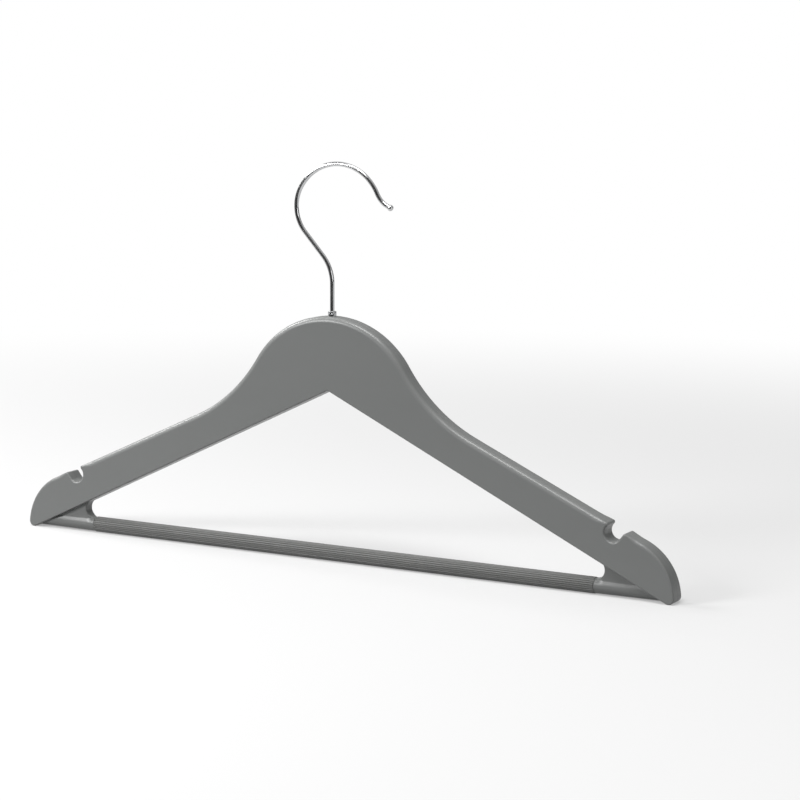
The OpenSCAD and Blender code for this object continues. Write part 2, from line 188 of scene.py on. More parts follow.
# %% Mould grain
# Fine spark grain of about 0.25 mm over a slow, shallow waviness of about 14 mm.
grain_group, g, g_in, g_out, g_where = new_group(
    "mould_grain", [("Grain Size", 0.25), ("Wave Size", 14.0), ("Wave Share", 0.5)],
    [("Height", "NodeSocketFloat"), ("Mottle", "NodeSocketFloat")])
fine_scale = g.math("DIVIDE", 1000.0, g_in.outputs["Grain Size"])
wave_scale = g.math("DIVIDE", 1000.0, g_in.outputs["Wave Size"])
fine = g.add("ShaderNodeTexNoise", Vector=g_where, Scale=fine_scale, Detail=3.0, Roughness=0.6)
wave = g.add("ShaderNodeTexNoise", Vector=g_where, Scale=wave_scale, Detail=1.0, Roughness=0.4)
mixed = g.math("ADD", g.math("MULTIPLY", wave.outputs[0], g_in.outputs["Wave Share"]),
               g.math("MULTIPLY", fine.outputs[0], 0.1))
g.tree.links.new(mixed, g_out.inputs["Height"])
g.tree.links.new(fine.outputs[0], g_out.inputs["Mottle"])

# %% Pigment drift
# Pigment never mixes quite evenly: broad clouds of about 60 mm, drawn out along the
# way the melt ran into the mould, and finer streaks inside them.
drift_group, g, g_in, g_out, g_where = new_group(
    "pigment_drift", [("Cloud Size", 60.0), ("Strength", 0.5)], [("Drift", "NodeSocketFloat")])
flow = g.add("ShaderNodeMapping", Vector=g_where)
flow.inputs["Scale"].default_value = (0.35, 1.0, 1.0)
cloud_scale = g.math("DIVIDE", 1000.0, g_in.outputs["Cloud Size"])
cloud = g.add("ShaderNodeTexNoise", Vector=flow.outputs[0], Scale=cloud_scale, Detail=4.0, Roughness=0.55)
centred = g.math("SUBTRACT", cloud.outputs[0], 0.5)
g.tree.links.new(g.math("MULTIPLY", centred, g_in.outputs["Strength"]), g_out.inputs["Drift"])

# %% Settled dust
# The mask is the upward part of the surface's own direction, broken up by noise.
dust_group, g, g_in, g_out, g_where = new_group(
    "settled_dust", [("Speck Size", 1.2), ("Amount", 0.3)], [("Dust", "NodeSocketFloat")])
facing = g.add("ShaderNodeNewGeometry").outputs["Normal"]
upness = g.ramp(g.add("ShaderNodeSeparateXYZ", Vector=facing).outputs["Z"], 0.35, 0.95)
speck_scale = g.math("DIVIDE", 1000.0, g_in.outputs["Speck Size"])
speck = g.add("ShaderNodeTexNoise", Vector=g_where, Scale=speck_scale, Detail=5.0, Roughness=0.7)
patch = g.add("ShaderNodeTexNoise", Vector=g_where, Scale=28.0, Detail=2.0)
broken = g.math("MULTIPLY", g.ramp(speck.outputs[0], 0.42, 0.68), g.ramp(patch.outputs[0], 0.3, 0.7))
settled = g.math("MULTIPLY", g.math("MULTIPLY", broken, upness), g_in.outputs["Amount"])
g.tree.links.new(settled, g_out.inputs["Dust"])

# %% Draw lines
# Long scratches along one axis: noise on coordinates squeezed along that axis.
line_group, g, g_in, g_out, g_where = new_group(
    "draw_lines", [("Along X", 0.0), ("Line Width", 0.12), ("Line Length", 9.0)],
    [("Height", "NodeSocketFloat"), ("Streak", "NodeSocketFloat")])
parts = g.add("ShaderNodeSeparateXYZ", Vector=g_where)
across = g.math("DIVIDE", 1000.0, g_in.outputs["Line Width"])
lengthways = g.math("DIVIDE", 1000.0, g_in.outputs["Line Length"])
spread = g.math("SUBTRACT", across, lengthways)
scale_x = g.math("SUBTRACT", across, g.math("MULTIPLY", spread, g_in.outputs["Along X"]))
scale_z = g.math("ADD", lengthways, g.math("MULTIPLY", spread, g_in.outputs["Along X"]))
drawn = g.add("ShaderNodeCombineXYZ")
g.tree.links.new(g.math("MULTIPLY", parts.outputs["X"], scale_x), drawn.inputs["X"])
g.tree.links.new(g.math("MULTIPLY", parts.outputs["Y"], across), drawn.inputs["Y"])
g.tree.links.new(g.math("MULTIPLY", parts.outputs["Z"], scale_z), drawn.inputs["Z"])
lines = g.add("ShaderNodeTexNoise", Vector=drawn.outputs[0], Scale=1.0, Detail=3.0, Roughness=0.55)
g.tree.links.new(lines.outputs[0], g_out.inputs["Height"])
g.tree.links.new(g.ramp(lines.outputs[0], 0.35, 0.7), g_out.inputs["Streak"])
print("shader groups:", [tree.name for tree in bpy.data.node_groups])

# %% [markdown]
# ## Finishes
# The body is grey moulded plastic: a satin skin, a slow drift of colour, edges polished
# a little lighter by handling, and a trace of dust on top. The metal parts share one
# recipe with their own colour, roughness and direction of the draw lines.

# %% Material helpers


def use_group(nodes, tree, **values):
    """Places a node group and sets its inputs, with _ for a space in an input's name."""
    node = nodes.tree.nodes.new("ShaderNodeGroup")
    node.node_tree = tree
    for key, value in values.items():
        node.inputs[key.replace("_", " ")].default_value = value
    return node


def start_material(name, view_colour):
    """An empty material whose output is fed by one Principled shader."""
    material = bpy.data.materials.new(name)
    material.use_nodes = True
    material.diffuse_color = (*view_colour, 1.0)
    material.node_tree.nodes.clear()
    nodes = Nodes(material.node_tree)
    shader = nodes.add("ShaderNodeBsdfPrincipled")
    end = nodes.add("ShaderNodeOutputMaterial")
    nodes.tree.links.new(shader.outputs[0], end.inputs["Surface"])
    return material, nodes, shader


# %% Plastic finish
cloud_size, drift_strength, speck_size = 55.0, 0.16, 1.1
dust_colour, dust_roughness, rubbed_polish = (0.42, 0.41, 0.39, 1.0), 0.4, 0.07
mottle_shade, mottle_roughness, grain_height, plastic_ior = 0.03, 0.03, 0.0006, 1.49


def plastic(name, colour, worn, roughness, grain=0.25, wave=14.0, bump=0.25, dust=0.25):
    """Moulded plastic: colour drifts with pigment and lightens on worn edges and under dust."""
    material, nodes, shader = start_material(name, colour)
    link = nodes.tree.links.new
    skin = use_group(nodes, grain_group, Grain_Size=grain, Wave_Size=wave, Wave_Share=0.5)
    drift = use_group(nodes, drift_group, Cloud_Size=cloud_size, Strength=drift_strength)
    dusty = use_group(nodes, dust_group, Speck_Size=speck_size, Amount=dust)
    mottle, settled_dust = skin.outputs["Mottle"], dusty.outputs["Dust"]
    edge = nodes.add("ShaderNodeAttribute", {"attribute_name": "edge"}).outputs["Fac"]
    rubbed = nodes.math("MULTIPLY", edge, nodes.ramp(mottle, 0.35, 0.65, 0.35, 1.0), clamp=True)
    base = nodes.add("ShaderNodeMix", {"data_type": "RGBA"}, i0=rubbed)
    base.inputs[6].default_value, base.inputs[7].default_value = (*colour, 1.0), (*worn, 1.0)
    shade = nodes.math("ADD", nodes.math("ADD", drift.outputs["Drift"], 1.0),
                       nodes.ramp(mottle, 0.3, 0.7, -mottle_shade, mottle_shade))
    tinted = nodes.add("ShaderNodeVectorMath", {"operation": "SCALE"})
    link(base.outputs[2], tinted.inputs[0])
    link(shade, tinted.inputs["Scale"])
    coat = nodes.add("ShaderNodeMix", {"data_type": "RGBA"}, i0=settled_dust)
    link(tinted.outputs[0], coat.inputs[6])
    coat.inputs[7].default_value = dust_colour
    link(coat.outputs[2], shader.inputs["Base Color"])
    skin_rough = nodes.ramp(mottle, 0.3, 0.7, roughness - mottle_roughness, roughness + mottle_roughness)
    rough = nodes.math("ADD", skin_rough, nodes.math("MULTIPLY", settled_dust, dust_roughness))
    link(nodes.math("SUBTRACT", rough, nodes.math("MULTIPLY", rubbed, rubbed_polish)),
         shader.inputs["Roughness"])
    lift = nodes.add("ShaderNodeBump", Height=skin.outputs["Height"], Strength=bump, Distance=grain_height)
    link(lift.outputs[0], shader.inputs["Normal"])
    shader.inputs["IOR"].default_value = plastic_ior
    return material


# %% Metal finish
tarnish_cloud, streak_roughness, line_height = 6.0, 0.1, 0.0002


def metal(name, colour, roughness, along_x=0.0, width=0.12, length=9.0, bump=0.08, tarnish=0.25):
    """Drawn or plated metal: fine lines in roughness and height, with faint cloudy tarnish."""
    material, nodes, shader = start_material(name, colour)
    link = nodes.tree.links.new
    lines = use_group(nodes, line_group, Along_X=along_x, Line_Width=width, Line_Length=length)
    drift = use_group(nodes, drift_group, Cloud_Size=tarnish_cloud, Strength=tarnish).outputs["Drift"]
    streak = lines.outputs["Streak"]
    tinted = nodes.add("ShaderNodeVectorMath", {"operation": "SCALE"})
    tinted.inputs[0].default_value = colour
    link(nodes.math("ADD", drift, nodes.ramp(streak, 0.0, 1.0, 0.92, 1.03)), tinted.inputs["Scale"])
    link(tinted.outputs[0], shader.inputs["Base Color"])
    line_rough = nodes.ramp(streak, 0.0, 1.0, roughness, roughness + streak_roughness)
    link(nodes.math("ADD", line_rough, nodes.math("ABSOLUTE", drift)), shader.inputs["Roughness"])
    lift = nodes.add("ShaderNodeBump", Height=lines.outputs["Height"], Strength=bump, Distance=line_height)
    link(lift.outputs[0], shader.inputs["Normal"])
    shader.inputs["Metallic"].default_value = 1.0
    return material


# %% The hanger's finishes
body_front = plastic("satin_grey_front", (0.186, 0.192, 0.189), (0.25, 0.255, 0.251), 0.35)
body_rear = plastic("satin_grey_rear", (0.183, 0.189, 0.186), (0.247, 0.252, 0.248), 0.36)
# The bar ends take a darker copy of the body's grey. This is painted shade for the shade that falls on the
# webs under the arms.
bar_end_grey_painted_shade = plastic("satin_grey_bar_end_painted_shade", (0.165, 0.17, 0.167), (0.215, 0.22, 0.216), 0.34,
                      grain=0.22, wave=7.0)
grip_rubber = plastic("ribbed_grip", (0.11, 0.112, 0.108), (0.155, 0.158, 0.154), 0.46,
                      grain=0.14, wave=4.0, bump=0.35, dust=0.35)
bush_nylon = plastic("natural_nylon", (0.72, 0.71, 0.64), (0.8, 0.79, 0.73), 0.35, grain=0.3, wave=3.0)
hook_steel = metal("plated_wire", (0.54, 0.545, 0.55), 0.13, bump=0.003, tarnish=0.1)
ball_steel = metal("plated_ball", (0.54, 0.545, 0.55), 0.14, width=0.3, length=1.0, bump=0.003, tarnish=0.1)
collar_steel = metal("turned_collar", (0.42, 0.425, 0.43), 0.16, along_x=1.0, width=0.1, length=2.5,
                     bump=0.01, tarnish=0.15)
rod_steel = metal("drawn_rod", (0.55, 0.555, 0.56), 0.3, along_x=1.0, width=0.2, length=25.0)
washer_zinc = metal("zinc_washer", (0.58, 0.59, 0.61), 0.32, width=0.25, length=0.8, tarnish=0.4)
nut_zinc = metal("zinc_nut", (0.55, 0.56, 0.58), 0.34, width=0.2, length=3.0, tarnish=0.4)
print("finishes:", [m.name for m in bpy.data.materials])

# %% [markdown]
# ## The moulded body
# The real body is two moulded halves joined on their middle plane. Its outline is a bell
# that runs through a hollow shoulder into a straight arm, a round-bottomed strap notch,
# a rounded tip and a straight underside. A profile is carried along that outline: flat
# side, quarter-round edge, flat face. The rounding is 3.2 mm on the arms and thins out at
# the notches and tips, so its radius is a value at each outline point. A bevel could not
# change its width along the way like that.

# %% Outline values, in millimetres
top_slope, low_slope, crown = 0.454, 0.475, 123.1
top_len, low_len = np.hypot(1, top_slope), np.hypot(1, low_slope)
top_dir = 90 - np.degrees(np.arctan(top_slope))
low_dir = -90 - np.degrees(np.arctan(low_slope))
bell_r, bell_top, shoulder_r = 58.9, 145.6, 100.9
bell_z = bell_top - bell_r
reach = crown + shoulder_r * top_len - bell_z
gap2 = reach ** 2 - (bell_r + shoulder_r) ** 2
shoulder_x = (top_slope * reach + np.sqrt((top_slope * reach) ** 2 - top_len ** 2 * gap2)) / top_len ** 2
shoulder_z = crown - top_slope * shoulder_x + shoulder_r * top_len
bell_dir = np.degrees(np.arctan2(shoulder_z - bell_z, shoulder_x))
tip_x, tip_r, corner_r = 185.3, 34.2, 3.3
tip_z = crown - top_slope * tip_x - tip_r * top_len
corner_x = tip_x + np.sqrt((tip_r - corner_r) ** 2 - (corner_r - tip_z) ** 2)
corner_dir = np.degrees(np.arctan2(corner_r - tip_z, corner_x - tip_x))
low_crown = corner_r + low_slope * corner_x - corner_r * low_len
notch_r, notch_x, wall_a, lip_r, notch_sink = 5.05, 182.4, 52.3, 1.3, 3.9
notch_z = crown - top_slope * notch_x - notch_sink
wall_dir = np.array([np.cos(np.radians(wall_a)), np.sin(np.radians(wall_a))])
lip_drop = notch_sink - lip_r * top_len
lip_gap2 = lip_drop ** 2 - (notch_r + lip_r) ** 2
lip_root = np.sqrt((top_slope * lip_drop) ** 2 - top_len ** 2 * lip_gap2)
lip_run = (top_slope * lip_drop - lip_root) / top_len ** 2
lip1 = np.array([notch_x + lip_run, crown - top_slope * (notch_x + lip_run) - lip_r * top_len])
lip_join = np.degrees(np.arctan2(lip1[1] - notch_z, lip1[0] - notch_x))
foot = np.array([notch_x, notch_z]) + (notch_r + lip_r) * np.array([wall_dir[1], -wall_dir[0]])
lip2 = foot + wall_dir * (crown - lip_r * top_len - top_slope * foot[0] - foot[1]) / (
    wall_dir[1] + top_slope * wall_dir[0])
print("bell meets shoulder at", round(bell_dir, 2), "degrees; body half width", round(corner_x + corner_r, 2))

# %% Outline points


def stretch(start, end, count):
    """Evenly spaced points from start to end, both left out."""
    t = np.linspace(0, 1, count + 2)[1:-1, None]
    return np.asarray(start) * (1 - t) + np.asarray(end) * t


bell = arc((0, bell_z), bell_r, 90, bell_dir, 60)
shoulder = arc((shoulder_x, shoulder_z), shoulder_r, 180 + bell_dir, 180 + top_dir, 40)[1:]
lip_in = arc(lip1, lip_r, top_dir, lip_join - 180, 16)
pocket = arc((notch_x, notch_z), notch_r, lip_join, 270 + wall_a, 48)[1:]
lip_out = arc(lip2, lip_r, 90 + wall_a, top_dir, 10)
tip = arc((tip_x, tip_z), tip_r, top_dir, corner_dir, 60)
corner = arc((corner_x, corner_r), corner_r, corner_dir, low_dir, 14)[1:]
apex = np.array([0.0, low_crown])
sections = [bell, shoulder, stretch(shoulder[-1], lip_in[0], 30), lip_in, pocket,
            stretch(pocket[-1], lip_out[0], 5), lip_out, stretch(lip_out[-1], tip[0], 12), tip, corner,
            stretch(corner[-1], apex, 70), apex[None]]
half = np.concatenate(sections)
outline = np.concatenate([half, half[-2:0:-1] * [-1, 1]])
print("outline points:", len(outline))

# %% [markdown]
# The rounding radius follows the distance walked along the outline. It is 3.2 mm up to a
# few millimetres before the notch, 1 mm inside it, up to 2.4 mm again on the tip and
# under 1 mm at the foot of the tip and along the underside.

# %% Rounding radius along the outline
step = np.linalg.norm(np.diff(half, axis=0), axis=1)
walked = np.concatenate([[0.0], np.cumsum(step)])
past_arm, past_notch, past_tip = np.cumsum([len(section) for section in sections])[[2, 6, 8]]
before_notch, after_notch, tip_end = walked[past_arm], walked[past_notch - 1], walked[past_tip - 1]
thin_out, notch_margin, swell, tip_fade, foot_fade = 7.0, 0.3, 6.0, 22.0, 4.0
knots = [0.0, before_notch - thin_out, before_notch - notch_margin, after_notch + notch_margin,
         after_notch + swell, after_notch + tip_fade, tip_end, tip_end + foot_fade, walked[-1]]
radii = [3.2, 3.2, 1.05, 1.05, 2.4, 1.8, 0.95, 0.8, 0.8]
half_rounding = np.interp(walked, knots, radii)
rounding = np.concatenate([half_rounding, half_rounding[-2:0:-1]])

# %% Carrying the edge profile along the outline
# Each level is a ring: how far in from the outline, how far out from the middle plane, and
# how worn. Handling wears the middle of the round edge most.


def inward_shift(path):
    """Mitred inward direction at each point of a closed path: (n1 + n2) / (1 + n1 . n2)."""
    ahead = np.roll(path, -1, axis=0) - path
    normal = np.stack([ahead[:, 1], -ahead[:, 0]], 1) / np.linalg.norm(ahead, axis=1)[:, None]
    before = np.roll(normal, 1, axis=0)
    return (normal + before) / (1 + (normal * before).sum(1))[:, None]


shift = inward_shift(outline)
half_t, wall_in, face_wall, face_border = 6.0, 1.0, 2.6, 0.12
seam_in, seam_up, seam_shine = 0.12, 0.1, 0.2
every = np.ones(len(outline))
levels = [(wall_in * every, (half_t - face_wall) * every, 0.0), (wall_in * every, 0 * every, 0.0),
          (seam_in * every, 0 * every, 1.0), (0 * every, seam_up * every, seam_shine)]
levels += [(rounding * (1 - np.cos(a)), half_t - rounding * (1 - np.sin(a)),
            max(0.0, 1.0 - abs(np.degrees(a) - 45) / 45)) for a in np.radians(np.linspace(0, 90, 13))]
levels += [(rounding + face_border, half_t * every, 0.0)]
rings = np.stack([np.concatenate([outline + shift * inset[:, None], depth[:, None]], 1)
                  for inset, depth, _ in levels])
edge_mark = np.stack([mark * every for _, _, mark in levels])
print("rings in each half:", len(levels))


def shell_mesh(front):
    """Points (x, y, z) and faces of one half: the rings, an inner cap and the flat outer face."""
    sign = -1.0 if front else 1.0
    points = np.stack([rings[..., 0], sign * rings[..., 2], rings[..., 1]], -1).reshape(-1, 3)
    rows, cols = rings.shape[:2]
    faces = grid_faces(rows, cols, wrap_cols=True)
    faces += [list(range((rows - 1) * cols, rows * cols)), list(range(cols))[::-1]]
    return points, faces


# %% [markdown]
# The collar and the shank pass through the top of both halves, so a stepped hole is cut
# there. A cylinder is the cutter, used once by a Boolean modifier whose result is kept.

# %% The two halves
turned_steps = 64


def lathe_points(profile, steps):
    """A profile (radius, height) turned round Z: x = r cos a, y = r sin a, z = height."""
    a = np.linspace(0, 2 * np.pi, steps, endpoint=False)
    r, z = np.asarray(profile, dtype=float).T
    turned = [np.outer(np.cos(a), r), np.outer(np.sin(a), r), np.tile(z, (steps, 1))]
    return np.stack(turned, -1).reshape(-1, 3)


def cut_hole(piece, profile):
    """Takes a turned shape, closed at both ends, out of the piece and keeps the result."""
    rows = len(profile)
    faces = grid_faces(turned_steps, rows, wrap_rows=True)
    faces += [[i * rows + end for i in range(turned_steps)] for end in (0, rows - 1)]
    cutter = make_piece("cutter", lathe_points(profile, turned_steps), faces, piece.data.materials[0])
    modifier = piece.modifiers.new("hole", "BOOLEAN")
    modifier.operation, modifier.solver, modifier.object = "DIFFERENCE", "EXACT", cutter
    evaluated = piece.evaluated_get(bpy.context.evaluated_depsgraph_get())
    result = bpy.data.meshes.new_from_object(evaluated)
    piece.modifiers.clear()
    old, piece.data = piece.data, result
    bpy.data.meshes.remove(old)
    bpy.data.objects.remove(cutter)
    piece.data.set_sharp_from_angle(angle=np.radians(sharp_from))


spigot_r, collar_r, seat_z, play, hole_foot, hole_top = 2.1, 2.5, 145.2, 0.05, 135.0, 152.0
hole = [(spigot_r + play, hole_foot), (spigot_r + play, seat_z), (collar_r + play, seat_z),
        (collar_r + play, hole_top)]
for name, front, finish in (("front_half", True, body_front), ("rear_half", False, body_rear)):
    points, faces = shell_mesh(front)
    half_piece = make_piece(name, points, faces, finish, marks={"edge": edge_mark})
    cut_hole(half_piece, hole)
    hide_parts("front_shell" if front else "rear_shell")
    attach(half_piece, "hanger")

# %% [markdown]
# ## The bar ends
# Each end is one moulding: a smooth stub that carries on the bar's line, and a thin web
# that flares up from it into the arm. Seen from the front every point of it has one
# half thickness, so the piece is a height field y = +- thickness(x, z) over a ruled grid.
# One side of the grid is the free edge: the stub's top line, the lower curve, a short
# upright and the upper curve that bends back under the arm. The other side is the stub's
# lower line and the hidden end inside the arm. The thickness is the greater of the stub's
# half chord and the web's half plate, with a smooth step between them, which gives the
# soft inner corner that moulded ribs have.

# %% Bar end shape
bar_z, seam_x, stub_r, stub_drop, web_x, web_half = 4.9, 170.9, 4.45, 0.25, 176.8, 3.35
flare_r, crook_r, bar_end_x, bar_end_rise = 5.0, 6.0, 212.5, 0.3
flare_overlap, crook_turn, free_step, spread_x = 0.02, 59, 0.2, 184.5


def stub_radius(x):
    """The stub thins evenly from the seam to the tip: r - drop * share of the way."""
    return stub_r - stub_drop * (x - seam_x) / (corner_x - seam_x)


def underside(x):
    """Height of the arm's lower line: crown - slope * x."""
    return low_crown - low_slope * x


flare_x, flare_z = web_x - flare_r, bar_z + stub_r - flare_overlap + flare_r
crook_x = web_x - crook_r
crook_z = underside(crook_x) - crook_r * low_len
stub_rows, flare_rows, floor_rows, end_rows = 5, 46, 100, 10
free_a = np.stack([np.linspace(seam_x, flare_x, stub_rows)[:-1]] * 2, 1)
free_a[:, 1] = bar_z + stub_radius(free_a[:, 0])
free_b = arc((flare_x, flare_z), flare_r, -90, 0, flare_rows)
free_c = arc((crook_x, crook_z), crook_r, 0, crook_turn, floor_rows + end_rows - 1)
last_x = free_c[-1, 0] - free_step
free_d = np.array([[last_x, underside(last_x) + bar_end_rise]])
free = np.concatenate([free_a, free_b, free_c, free_d])
floor_x = np.concatenate([free_a[:, 0], np.linspace(flare_x, spread_x, flare_rows),
                          np.linspace(spread_x, bar_end_x, floor_rows + 1)[1:]])
far = np.stack([floor_x, bar_z - stub_radius(floor_x)], 1)
end_z = np.linspace(far[-1, 1], underside(bar_end_x) + bar_end_rise, end_rows + 1)[1:]
far = np.concatenate([far, np.stack([np.full(end_rows, bar_end_x), end_z], 1)])
across = 0.5 - 0.5 * np.cos(np.linspace(0, np.pi, 90))
field = far[:, None] * (1 - across[:, None]) + free[:, None] * across[:, None]


def half_thickness(q, edge_r=0.9, blend=1.3):
    """Half thickness at (x, z): stub sqrt(r^2 - dz^2), web plate with a rounded free edge.

    Where both are near each other a fillet of blend / 4 at most is added. The second result
    is the distance from the free edge, in edge radii.
    """
    x, z = q[..., 0], q[..., 1]
    r = stub_radius(x)
    stub = np.sqrt(np.clip(r ** 2 - (z - bar_z) ** 2, 0, None))
    from_flare = np.hypot(x - flare_x, z - flare_z) - flare_r
    from_crook = np.hypot(x - crook_x, z - crook_z) - crook_r
    from_edge = np.where(z > crook_z, from_crook, np.where(z > flare_z, x - web_x, from_flare))
    d = np.clip(from_edge, 0, edge_r)
    widen = np.where(z > flare_z, 1.0, np.clip((x - flare_x) / flare_r, 0, 1))
    widen = np.sqrt(1 - (1 - widen) ** 2)
    plate = (web_half - edge_r + np.sqrt(edge_r ** 2 - (edge_r - d) ** 2)) * widen
    plate = np.where((x > flare_x) & (z > bar_z), plate, 0.0)
    soft = np.clip(blend - np.abs(stub - plate), 0, None) / blend
    soft = np.where((stub > 0) & (plate > 0), soft, 0.0)
    return np.maximum(stub, plate) + soft ** 2 * blend / 4, d / edge_r


thickness, from_rim = half_thickness(field)
thickness[:stub_rows + flare_rows + floor_rows - 1, 0] = 0.0
thickness[:stub_rows - 1, -1] = 0.0
on_edge = np.clip(1.0 - from_rim, 0, 1) * (field[..., 0] > flare_x)


def bar_end_mesh(side):
    """Front sheet, rear sheet and the walls between them along all four borders."""
    rows, cols = thickness.shape
    sheets = [np.stack([side * field[..., 0], face * thickness, field[..., 1]], -1).reshape(-1, 3)
              for face in (-1, 1)]
    rear = rows * cols
    faces = grid_faces(rows, cols) + grid_faces(rows, cols, start=rear)
    index = np.arange(rear).reshape(rows, cols)
    for border in (index[:, 0], index[:, -1], index[0], index[-1]):
        faces += np.stack([border[:-1], border[1:], border[1:] + rear, border[:-1] + rear], 1).tolist()
    return np.concatenate(sheets), faces, np.concatenate([on_edge.ravel(), on_edge.ravel()])


for side, name in ((-1, "left"), (1, "right")):
    points, faces, marks = bar_end_mesh(side)
    # The moulding's darker grey is painted shade for the shade under the arm.
    bar_end = make_piece(f"bar_end_{name}_moulding", points, faces, bar_end_grey_painted_shade,
                         marks={"edge": marks}, merge=2e-6)
    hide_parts(f"bar_end_{name}")
    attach(bar_end, "hanger")

# %% [markdown]
# ## The ribbed sleeve
# A soft ribbed sleeve keeps trousers from sliding. Its section is a circle whose radius
# rises and falls 24 times round, r = R - depth * valley(angle)^0.8, with narrow round valleys
# between broader ribs. The same section is carried along X, and its rim is eased at both
# ends where the sleeve was cut.

# %% Sleeve
rib_count, rib_steps, rib_depth, rib_shine = 24, 14, 0.34, 0.7
sleeve_r, sleeve_x, bore_r, sleeve_rows, rim_length = 4.7, 170.8, 2.45, 60, 0.6
valley_gain, valley_shift, valley_floor = 1.35, 0.1, 1.25
rim_steps, rim_ease = np.array([0.0, 0.1, 0.3]), np.array([0.22, 0.1, 0.02])
a = np.linspace(0, 2 * np.pi, rib_count * rib_steps, endpoint=False)
valley = np.clip(np.cos(rib_count * a + np.pi) * valley_gain - valley_shift, 0, valley_floor) / valley_floor
middle_x = np.linspace(-sleeve_x + rim_length, sleeve_x - rim_length, sleeve_rows)
x_rows = np.concatenate([-sleeve_x + rim_steps, middle_x, sleeve_x - rim_steps[::-1]])
ease = np.concatenate([rim_ease, np.zeros(sleeve_rows), rim_ease[::-1]])
r = sleeve_r - rib_depth * valley[None, :] ** 0.8 - ease[:, None]
outer_skin = np.stack([np.repeat(x_rows[:, None], len(a), 1), r * np.sin(a), bar_z + r * np.cos(a)], -1)
bore = np.stack([np.repeat(np.array([[sleeve_x], [-sleeve_x]]), len(a), 1),
                 np.tile(bore_r * np.sin(a), (2, 1)), bar_z + np.tile(bore_r * np.cos(a), (2, 1))], -1)
sleeve_points = np.concatenate([outer_skin, bore])
rib_mark = np.concatenate([np.tile((1 - valley) ** 3, (len(x_rows), 1)), np.zeros((2, len(a)))])
sleeve = make_piece("ribbed_sleeve", sleeve_points.reshape(-1, 3),
                    grid_faces(len(sleeve_points), len(a), wrap_rows=True, wrap_cols=True), grip_rubber,
                    marks={"edge": rib_mark * rib_shine})
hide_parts("grip_sleeve")
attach(sleeve, "hanger")

# %% [markdown]
# ## The wire hook
# The hook is one length of wire bent in a jig: shank, neck bend, straight lean, throat,
# ring and a short outward lead. The path is a chain of arcs and lines, and a circle of
# the wire's radius is carried along it. The path is flat, so one side direction is
# always Y and the other is the path's own normal, and the tube never twists.

# %% Hook path


def walk(start, heading, moves, spacing):
    """Points and headings along bends (radius, degrees left) and straights (length, None).

    A straight is start + t * (cos h, sin h). A bend turns the spoke from its centre, which
    lies one radius to the side: centre + (turned spoke).
    """
    points, headings = [np.array(start, dtype=float)], [heading]
    for size, bend in moves:
        p, h = points[-1], np.radians(headings[-1])
        if bend is None:
            n = max(2, int(size / spacing))
            t = np.linspace(0, size, n)[1:, None]
            points += list(p + t * [np.cos(h), np.sin(h)])
            headings += [headings[-1]] * (n - 1)
            continue
        n = max(6, int(size * np.radians(abs(bend)) / spacing))
        side = np.sign(bend)
        centre = p + side * size * np.array([-np.sin(h), np.cos(h)])
        turn_a = np.radians(np.linspace(0, bend, n)[1:])
        (out, up), cos, sin = p - centre, np.cos(turn_a), np.sin(turn_a)
        points += list(centre + np.stack([out * cos - up * sin, out * sin + up * cos], 1))
        headings += list(headings[-1] + np.degrees(turn_a))
    return np.array(points), np.radians(headings)


wire_r, shank_foot, past_ball_centre, row_spacing = 1.35, 128.9, 0.6, 0.7
shank, neck_bend, lean, throat = (35.2, None), (24.7, 42.2), (18.0, None), (22.0, -74.5)
ring, lead_bend, lead = (29.0, -122.0), (14.8, 41.5), (1.8, None)
path, heading = walk((0.0, shank_foot), 90.0, [shank, neck_bend, lean, throat, ring, lead_bend, lead],
                     row_spacing)
ball_centre = path[-1] - past_ball_centre * np.array([np.cos(heading[-1]), np.sin(heading[-1])])
print("hook reaches", round(path[:, 1].max() + wire_r, 2), "mm; ball at", np.round(ball_centre, 2))

# %% Hook wire
wire_sides, foot_ease, sideways = 32, 0.25, np.array([0.0, 1.0, 0.0])
around = np.linspace(0, 2 * np.pi, wire_sides, endpoint=False)
normal = np.stack([-np.sin(heading), np.zeros_like(heading), np.cos(heading)], 1)
centre_line = np.stack([path[:, 0], np.zeros(len(path)), path[:, 1]], 1)
easing = np.full(len(path), wire_r)
easing[0] -= foot_ease
spokes = np.cos(around)[None, :, None] * normal[:, None] + np.sin(around)[None, :, None] * sideways
tube = centre_line[:, None] + easing[:, None, None] * spokes
rows, cols = tube.shape[:2]
wire_faces = grid_faces(rows, cols, wrap_cols=True)
wire_faces += [list(range(cols)), list(range((rows - 1) * cols, rows * cols))]
wire = make_piece("bent_wire", tube.reshape(-1, 3), wire_faces, hook_steel)
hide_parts("hook_wire")
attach(wire, "hook")

# %% [markdown]
# The wire's end wears a small plated ball, so that it can't catch in clothes. It is a
# turned shape: a round head with a blind bore that takes the wire's end, laid along the
# direction in which the wire ends.

# %% Ball end
ball_r, ball_bore, bore_end, bore_ease, mouth_lip, ball_steps = 1.8, 1.4, 0.65, 0.1, 0.04, 40
mouth = np.sqrt(ball_r ** 2 - ball_bore ** 2)
polar = np.linspace(np.arccos(-mouth / ball_r), 0.0, 30)[:-1]
bore_profile = [(0.0, bore_end), (ball_bore - bore_ease, bore_end), (ball_bore, bore_end - bore_ease),
                (ball_bore, mouth_lip - mouth)]
head_profile = np.stack([ball_r * np.sin(polar), ball_r * np.cos(polar)], 1)
profile = np.concatenate([bore_profile, head_profile, [(0.0, ball_r)]])
local = lathe_points(profile, ball_steps)
along = np.array([np.cos(heading[-1]), 0.0, np.sin(heading[-1])])
across_dir = np.array([-np.sin(heading[-1]), 0.0, np.cos(heading[-1])])
ball_points = (np.array([ball_centre[0], 0.0, ball_centre[1]]) + local[:, :1] * across_dir
               + local[:, 1:2] * sideways + local[:, 2:] * along)
ball = make_piece("ball_end", ball_points, grid_faces(ball_steps, len(profile), wrap_rows=True), ball_steel,
                  merge=1e-6)
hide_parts("hook_tip")
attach(ball, "hook")

# %% [markdown]
# The collar is turned on a lathe: a bore for the shank, a spigot that is pressed into
# the body, and a rim with eased edges and a fine groove near its top.

